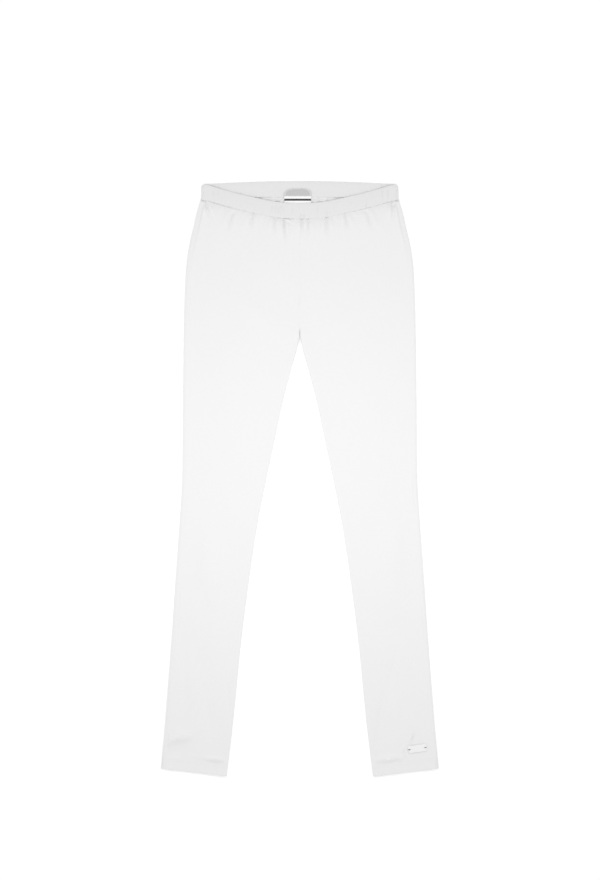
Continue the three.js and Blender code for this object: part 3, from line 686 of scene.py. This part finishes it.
JERSEY_SHADE = 0.8
# The waistband is the legs' jersey made darker. This is painted shade that stands in for the shade in its
# ruched wrinkles and on the back band, which lies deeper.
CASING_PAINTED_SHADE = 0.753
jersey = jersey_material("brushed jersey", JERSEY_SHADE)
casing_painted_shade = jersey_material("jersey over elastic with painted shade", CASING_PAINTED_SHADE, wale=0.75)
thread = thread_material("sewing thread", 0.8)
# This is a real thread, but its near-black colour is painted shade that stands in for the shade inside the
# ankle plate's holes.
hole_shade_thread = thread_material("thread with painted hole shade", 0.03)
label_face = label_material("grey label", 0.53)
label_rim = label_material("grey label edge", 0.64)
ribbon = ribbon_material()
pale_metal = metal_material()


def finish_piece(obj, material):
    obj.data.materials.append(material)
    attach(obj, "root")


# Leg panels

ROWS = {"front": panel_rows(1.0), "back": panel_rows(1.6)}
COLUMNS = {"front": panel_columns(190), "back": panel_columns(96)}


def panel(layer, side, word):
    name = layer["name"]
    outer, inner, cut = skin(layer, side, ROWS[name], COLUMNS[name])
    obj = closed_sheet(f"{name}_panel_cloth_{word}", outer, inner, cut, side * layer["up"] > 0)
    finish_piece(obj, jersey)
    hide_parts(f"{name}_panel_{word}")
    return obj, area_of(outer)


for layer in (BACK, FRONT):
    for word, side in (("right", -1), ("left", 1)):
        panel(layer, side, word)


# Waistband


def band_line(step):
    """The ring's middle line, closed: x, z and whether it is the front."""
    back_z = BAND["thick"] / 2
    radius = (BAND["front_side"] - back_z) / 2
    width = 1.6 * radius
    turn_x = BAND["half"] - BAND["thick"] / 2 - width
    turn_z = back_z + radius
    count = int(2 * turn_x / step)
    share = np.linspace(-1, 1, count + 1)
    front_z = lerp(BAND["front_middle"], BAND["front_side"], np.abs(share) ** 3)
    angle = np.linspace(0.5, -0.5, 13)[1:-1] * math.pi
    x = [turn_x * share, turn_x + width * np.cos(angle), -turn_x * share, -turn_x - width * np.cos(angle)]
    z = [front_z, turn_z + radius * np.sin(angle), back_z + 0 * share, turn_z - radius * np.sin(angle)]
    front = [share < 2, angle > 0, share > 2, angle < 0]
    return np.concatenate(x), np.concatenate(z), np.concatenate(front)


def band_section(edge_steps, face_steps):
    """The strip's section: (up from the lower edge, out from its middle), front face down to back face."""
    radius = BAND["thick"] / 2
    angle = np.linspace(0, math.pi, edge_steps + 1)
    height = BAND["height"]
    face = np.linspace(height - radius, radius, face_steps + 1)[1:-1]
    top = [(height - radius + radius * math.sin(a), radius * math.cos(a)) for a in angle]
    inside = [(up, -radius) for up in face]
    low = [(radius - radius * math.sin(a), -radius * math.cos(a)) for a in angle]
    outside = [(up, radius) for up in face[::-1]]
    return np.array(top + inside + low + outside)


# Wrinkles of the front band: (x, height up the band of the middle, length, width, depth)
BAND_PUCKERS = [
    (-45, 15, 8, 2.6, 0.6), (-38.5, 16, 8, 1.3, 0.7), (-34.5, 15, 7, 1.2, 0.6), (-30.5, 15, 8, 1.2, 0.6),
    (-27, 17, 8, 1.2, 0.6), (-12, 13, 7, 1.4, 0.5), (2, 5, 6, 1.3, 0.6), (6.8, 5, 6, 1.3, 0.6),
    (28.5, 15, 8, 1.5, 0.4), (-140.5, 14, 7, 1.8, 0.8), (-133, 17, 8, 1.8, 0.4), (134, 17, 9, 1.8, 0.7),
    (143, 14, 10, 2.0, 0.8), (-96, 7, 7, 1.8, 0.3), (-74, 6, 7, 1.6, 0.3), (44, 7, 8, 1.6, 0.4),
    (58, 18, 7, 1.6, 0.3), (108, 8, 9, 1.8, 0.4), (82, 15, 8, 1.6, 0.3), (118, 17, 7, 1.8, 0.3),
    (-156, 12, 14, 0.9, 0.35), (156, 12, 14, 0.9, 0.35),
]


def band_ripple(x, up, front):
    """How far the ruched cloth stands off the strip, and how far its wrinkles draw it sideways."""
    edge = np.maximum(gauss(up, 7.0), 0.55 * gauss(up - BAND["height"], 5.0))
    fine = 0.2 * ripple(x, 6.2, SEED + 21) * (0.3 + 0.7 * edge)
    wide = 0.16 * ripple(x + 0.15 * up, 23, SEED + 22)
    cut = 0
    pinch = 0
    for at, middle, run, width, depth in BAND_PUCKERS:
        shown = gauss(up - middle, run) * np.where(front, 1.0, 0.5)
        cut = cut + depth * gauss(x - at, width) * shown
        pinch = pinch - PINCH * (x - at) * gauss(x - at, 1.3 * width) * shown
    return fine + wide - 2.2 * cut, pinch


def band_points(x, z, front, section):
    """The strip's skin: rows go round the ring, and columns round the strip's section."""
    before = np.roll(np.stack([x, z]), 1, axis=1)
    after = np.roll(np.stack([x, z]), -1, axis=1)
    out = np.stack([before[1] - after[1], after[0] - before[0]])
    out /= np.linalg.norm(out, axis=0)
    height = BAND["height"]
    x, z, front = x[:, None], z[:, None], front[:, None]
    up = section[:, 0][None, :]
    side_of = np.sign(section[:, 1])[None, :]
    stand, pinch = band_ripple(x, up, front)
    thinner = 1 - BAND["edge_taper"] * smoothstep(up, height - 6, height)
    flat_below = np.where(front, 1.0, np.where(side_of > 0, 0.0, 1.0))
    reach = section[:, 1][None, :] * thinner + side_of * stand * flat_below
    top = np.where(front, band_top(FRONT, x), band_top(BACK, x))
    wave = 0.14 * ripple(x, 7.0, SEED + 23) * (gauss(up, 3) + gauss(up - height, 3))
    corner = 2.6 * smoothstep(np.abs(x), BAND["half"] - 6, BAND["half"] - 1)
    down = top + height - up + wave + corner * smoothstep(up, height - 9, height)
    band_x = x + out[0][:, None] * reach + pinch * (side_of > 0)
    spare = np.where(front, z - 1.5 * BAND["thick"] - 0.1, 0) * (1 - smoothstep(np.abs(x), 120, 153))
    lying = z - spare * smoothstep(up, 8, height - 2)
    points = np.stack([band_x, LENGTH / 2 - down, lying + out[1][:, None] * reach], -1)
    points[..., 2] = np.maximum(points[..., 2], 0.0)
    return points


def ring_faces(rows, cols):
    """The faces of a grid that closes on itself both ways."""
    i, j = np.meshgrid(np.arange(rows), np.arange(cols), indexing="ij")
    ahead = (i + 1) % rows
    beside = (j + 1) % cols
    corners = [i * cols + j, ahead * cols + j, ahead * cols + beside, i * cols + beside]
    return np.stack(corners, -1).reshape(-1, 4)


BAND_STEP = 1.1  # between two sections along the ring


def waistband():
    x, z, front = band_line(BAND_STEP)
    section = band_section(6, 14)
    points = band_points(x, z, front, section)
    line = np.stack([x, z])
    steps = np.hypot(*(line - np.roll(line, 1, axis=1)))
    run = np.cumsum(steps)[:, None] + 0 * section[:, 0]
    uv = np.stack([run, section[:, 0] + 0 * run], -1)
    faces = ring_faces(*points.shape[:2])
    obj = mesh_object("waistband_cloth", points.reshape(-1, 3), faces, uv.reshape(-1, 2))
    # The band takes the jersey that is darkened by painted shade.
    finish_piece(obj, casing_painted_shade)
    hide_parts("waistband")


waistband()


# Labels


HALF_ROUND_STEPS = 36


def half_round(scale):
    """The outline of a flat-topped half-round tab about the middle of its base."""
    turn = np.linspace(0, math.pi, HALF_ROUND_STEPS + 1)
    fullness = np.where(np.cos(turn) > 0, 0.55, 0.8)
    across = np.sign(np.cos(turn)) * np.abs(np.cos(turn)) ** fullness
    up = np.sin(turn) ** fullness
    middle = 0.35 * BRAND_LABEL["height"]
    outline = np.stack([BRAND_LABEL["half"] * across, BRAND_LABEL["height"] * up - middle], axis=1) * scale
    return outline + [0, middle]


def brand_label():
    """A half-round tab sewn to the inside of the back waistband, bare but for its stitched border."""
    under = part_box("brand_label")[0][2] / MM
    base = np.array([BRAND_LABEL["x"], LENGTH / 2 - BRAND_LABEL["down"], under - 0.05])
    # The tab's rings from its lower edge over the rim to its middle: (scale of the outline, height)
    profile = [
        (1.0, 0.0), (1.0, 0.4), (0.985, 0.58), (0.95, 0.62), (0.92, 0.6), (0.885, 0.5), (0.86, 0.42),
        (0.83, 0.5), (0.78, 0.56), (0.5, 0.6), (0.02, 0.62),
    ]
    count = HALF_ROUND_STEPS + 1
    rings = [np.column_stack([half_round(scale), np.full(count, z)]) for scale, z in profile]
    faces = tube_faces(len(rings), count)
    obj = mesh_object("brand_label_tab", np.concatenate(rings) + base, faces)
    finish_piece(obj, label_rim)
    obj.data.materials.append(label_face)
    inner = [1 if profile[i // count][0] <= BRAND_LABEL["rim"] else 0 for i in range(len(faces) - 2)] + [0, 1]
    obj.data.polygons.foreach_set("material_index", np.array(inner, dtype=np.int32))
    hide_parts("brand_label")
    border = np.column_stack([half_round(BRAND_LABEL["rim"]), np.full(count, 0.45)]) + base
    return np.concatenate([border, border[:1]])


def size_label():
    """The ribbon that is caught in the back waist seam and lies on the back panels' gathers."""
    half, thick, length = SIZE_LABEL["half"], SIZE_LABEL["thick"], SIZE_LABEL["length"]
    low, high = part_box("size_label")
    t = np.linspace(-1, 1, 41)
    v = np.linspace(0, 1, 25)
    x = SIZE_LABEL["x"] + half * t[None, :] + 0 * v[:, None]
    down = band_top(BACK, x) + BAND["height"] - SIZE_LABEL["caught"] + length * v[:, None]
    middle = (low[2] + high[2]) / 2 / MM
    rise = SIZE_LABEL["rise"] * (1 - t[None, :] ** 2) * np.sin(math.pi * v)[:, None]
    wave = 0.12 * np.sin(3.1 * math.pi * t)[None, :] * v[:, None]
    z = middle - 0.2 + rise + wave
    upper = np.stack([x, LENGTH / 2 - down, z + thick], -1)
    lower = np.stack([x, LENGTH / 2 - down, z], -1)
    cut = np.stack([x, down - BAND["height"] + 0 * x], -1)
    obj = closed_sheet("size_label_ribbon", upper, lower, cut, False)
    finish_piece(obj, ribbon)
    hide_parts("size_label")


label_border = brand_label()
size_label()


# Metal plate


def closed_line(curve, points):
    line = curve.splines.new("POLY")
    line.points.add(len(points) - 1)
    for point, (x, y) in zip(line.points, points):
        point.co = (x * MM, y * MM, 0, 1)
    line.use_cyclic_u = True


def plate_curve(thick):
    """The plate's rounded outline and its two holes, as a filled curve with softened edges."""
    bevel = PLATE["bevel"]
    half_width = PLATE["width"] / 2 - bevel
    half_height = PLATE["height"] / 2 - bevel
    corner = PLATE["corner"] - bevel
    curve = bpy.data.curves.new("plate_outline", "CURVE")
    curve.dimensions = "2D"
    curve.fill_mode = "BOTH"
    curve.bevel_depth = bevel * MM
    curve.bevel_resolution = 3
    curve.extrude = thick / 2 - bevel * MM
    outline = []
    for start, sx, sy in ((0, 1, 1), (1, -1, 1), (2, -1, -1), (3, 1, -1)):
        for a in np.linspace(0, math.pi / 2, 9) + start * math.pi / 2:
            x = sx * (half_width - corner) + corner * math.cos(a)
            y = sy * (half_height - corner) + corner * math.sin(a)
            outline.append((x, y))
    closed_line(curve, outline)
    radius = PLATE["hole_radius"] + bevel
    turn = np.linspace(0, 2 * math.pi, 25)[:-1]
    for way in (-1, 1):
        hole_x = way * (PLATE["width"] / 2 - PLATE["hole_inset"])
        closed_line(curve, [(hole_x + radius * math.cos(a), radius * math.sin(a)) for a in turn])
    return curve


def ankle_plate():
    """A thin plate at its slope on the ankle."""
    low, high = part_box("ankle_plate")
    drawn = bpy.data.objects.new("plate_outline", plate_curve(high[2] - low[2]))
    mesh = bpy.data.meshes.new_from_object(drawn)
    bpy.data.objects.remove(drawn)
    slope = math.radians(PLATE["slope"])
    points = np.empty(len(mesh.vertices) * 3)
    mesh.vertices.foreach_get("co", points)
    x, y, z = points.reshape(-1, 3).T
    turned_x = x * math.cos(slope) - y * math.sin(slope)
    turned_y = x * math.sin(slope) + y * math.cos(slope)
    turned = np.stack([turned_x, turned_y, z], 1)
    turned += [PLATE["x"] * MM, (LENGTH / 2 - PLATE["down"]) * MM, (low[2] + high[2]) / 2]
    mesh.vertices.foreach_set("co", turned.ravel())
    obj = bpy.data.objects.new("ankle_plate_metal", mesh)
    bpy.context.scene.collection.objects.link(obj)
    obj.data.materials.clear()
    finish_piece(obj, pale_metal)
    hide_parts("ankle_plate")


ankle_plate()


# Thread


def resampled(path, step):
    """Points along a path at equal distances."""
    lengths = np.concatenate([[0], np.cumsum(np.linalg.norm(np.diff(path, axis=0), axis=1))])
    count = max(2, int(lengths[-1] / step))
    at = np.linspace(0, lengths[-1], count + 1)
    return np.stack([np.interp(at, lengths, path[:, k]) for k in range(3)], axis=1)


def thread_tube(path, radius, sides=6):
    """A tube of thread along a path, with pointed ends: its points and faces."""
    path = np.asarray(path, float)
    ahead = np.gradient(path, axis=0)
    ahead /= np.linalg.norm(ahead, axis=1, keepdims=True)
    across = np.cross(ahead, [0, 0, 1.0])
    across /= np.maximum(1e-9, np.linalg.norm(across, axis=1, keepdims=True))
    upward = np.cross(across, ahead)
    angle = np.arange(sides) * 2 * math.pi / sides
    width = radius * np.sin(np.linspace(0.18, math.pi - 0.18, len(path))) ** 0.4
    points = (
        path[:, None]
        + width[:, None, None] * np.cos(angle)[None, :, None] * across[:, None]
        + width[:, None, None] * np.sin(angle)[None, :, None] * upward[:, None]
    ).reshape(-1, 3)
    return points, tube_faces(len(path), sides)


def thread_object(name, tubes, material=thread):
    """One piece of many tubes of thread."""
    points = np.concatenate([tube_points for tube_points, _ in tubes])
    faces = []
    start = 0
    for tube_points, around in tubes:
        faces.extend([[start + k for k in face] for face in around])
        start += len(tube_points)
    finish_piece(mesh_object(name, points, faces, sharp=math.pi), material)


STITCH = {"pitch": 3.0, "share": 0.86, "radius": 0.2, "sunk": 0.16, "proud": 0.1}


def stitch_row(path, up=1, pitch=STITCH["pitch"], radius=STITCH["radius"]):
    """Stitches along a path on the cloth, each dipping into it at both ends."""
    marks = resampled(path, pitch)
    tubes = []
    for a, b in zip(marks[:-1], marks[1:]):
        t = np.linspace(0, STITCH["share"], 5)[:, None]
        stitch = a + (b - a) * t
        bow = np.sin(np.linspace(0, math.pi, 5))
        stitch[:, 2] += up * (-STITCH["sunk"] + (STITCH["sunk"] + STITCH["proud"]) * bow)
        tubes.append(thread_tube(stitch, radius))
    return tubes


# From where to where the stitches run in skin()'s across, and how far they are lifted off the floor
HEM_STITCHES = {"first": 0.75, "last": 2.65, "points": 90, "clear": 0.34}


def hem_stitching():
    """Twin-needle stitching round both hems, on the front and underneath."""
    tubes = []
    across = np.linspace(HEM_STITCHES["first"], HEM_STITCHES["last"], HEM_STITCHES["points"])
    for layer in (FRONT, BACK):
        for side in (-1, 1):
            for offset in (-HEM["needles"], HEM["needles"]):
                row = 2 - (HEM["turn"] + offset) / LEG_DEPTH
                nearby = row + np.array([-0.002, 0, 0.002])
                path = skin(layer, side, nearby, across)[0][1]
                if layer is BACK:
                    path[:, 2] = np.maximum(path[:, 2], 0) + HEM_STITCHES["clear"]
                tubes += stitch_row(path, layer["up"])
    thread_object("hem_stitching", tubes)


PLATE_THREAD = {"past_end": 0.3, "strands": (-0.3, 0, 0.3), "radius": 0.2, "arch": 1.5, "sunk": 1.25}
LABEL_STITCH = {"pitch": 1.8, "radius": 0.14}


def plate_thread():
    """The thread that holds the plate, through each hole and over its end. Its near-black colour is painted
    shade of the holes.
    """
    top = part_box("ankle_plate")[1][2] / MM
    slope = math.radians(PLATE["slope"])
    ahead = np.array([math.cos(slope), math.sin(slope), 0])
    centre = np.array([PLATE["x"], LENGTH / 2 - PLATE["down"], top])
    tubes = []
    for way in (-1, 1):
        hole = centre + way * ahead * (PLATE["width"] / 2 - PLATE["hole_inset"])
        end = centre + way * ahead * (PLATE["width"] / 2 + PLATE_THREAD["past_end"])
        for spread in PLATE_THREAD["strands"]:
            off = np.array([-ahead[1], ahead[0], 0]) * spread
            turn = np.linspace(0, math.pi, 13)[:, None]
            path = (hole + end) / 2 + off + (hole - end) / 2 * np.cos(turn) ** 3
            path[:, 2] += PLATE_THREAD["arch"] * np.sin(turn[:, 0]) ** 0.5 - PLATE_THREAD["sunk"]
            tubes.append(thread_tube(path, PLATE_THREAD["radius"]))
    thread_object("plate_thread", tubes, hole_shade_thread)


hem_stitching()
plate_thread()
label_stitches = stitch_row(label_border, 1, LABEL_STITCH["pitch"], LABEL_STITCH["radius"])
thread_object("label_stitching", label_stitches)


# Stage, light and camera

PICTURE = {"width": 600, "height": 880}  # pixels of the photo's frame
MM_PER_PIXEL = 1.62
WAIST_PIXEL = {"x": 299.8, "y": 181.0}  # where the photo has the centre of the back waist
CAMERA_HEIGHT = 3.3
CLOTH_TOP = 0.005
FLOOR_GLOW = 0.15
SKY = 0.888
FLOOR = {"size": 60, "down": 0.0006, "shade": 0.92}
KEY = {"x": 0.0, "y": 0.04, "z": 0.75, "width": 0.7, "depth": 0.3, "watts": 1.82}


def floor():
    bpy.ops.mesh.primitive_plane_add(size=FLOOR["size"], location=(0, 0, -FLOOR["down"]))
    obj = bpy.context.object
    obj.name = "studio_sheet"
    material, shader = new_material("white sheet", (FLOOR["shade"],) * 3, 0.9)
    shader.inputs["Emission Color"].default_value = (1, 1, 1, 1)
    shader.inputs["Emission Strength"].default_value = FLOOR_GLOW
    obj.data.materials.append(material)


def sky():
    world = bpy.data.worlds.new("studio")
    bpy.context.scene.world = world
    world.use_nodes = True
    background = world.node_tree.nodes["Background"]
    background.inputs["Color"].default_value = (1, 1, 1, 1)
    background.inputs["Strength"].default_value = SKY


def key_light():
    light = bpy.data.lights.new("key", "AREA")
    light.shape = "RECTANGLE"
    light.size = KEY["width"]
    light.size_y = KEY["depth"]
    light.energy = KEY["watts"]
    obj = bpy.data.objects.new("key", light)
    obj.location = (KEY["x"], KEY["y"], KEY["z"])
    obj.visible_camera = False
    bpy.context.scene.collection.objects.link(obj)


def camera():
    data = bpy.data.cameras.new("camera")
    obj = bpy.data.objects.new("camera", data)
    bpy.context.scene.collection.objects.link(obj)
    across = (PICTURE["width"] / 2 - WAIST_PIXEL["x"]) * MM_PER_PIXEL
    below = (PICTURE["height"] / 2 - WAIST_PIXEL["y"]) * MM_PER_PIXEL
    obj.location = (across * MM, (LENGTH / 2 - below) * MM, CAMERA_HEIGHT)
    data.sensor_fit = "VERTICAL"
    data.sensor_height = 36.0
    frame_height = PICTURE["height"] * MM_PER_PIXEL * MM
    data.lens = data.sensor_height * (CAMERA_HEIGHT - CLOTH_TOP) / frame_height
    bpy.context.scene.camera = obj


floor()
sky()
key_light()
camera()
bpy.context.scene.view_settings.view_transform = "Standard"
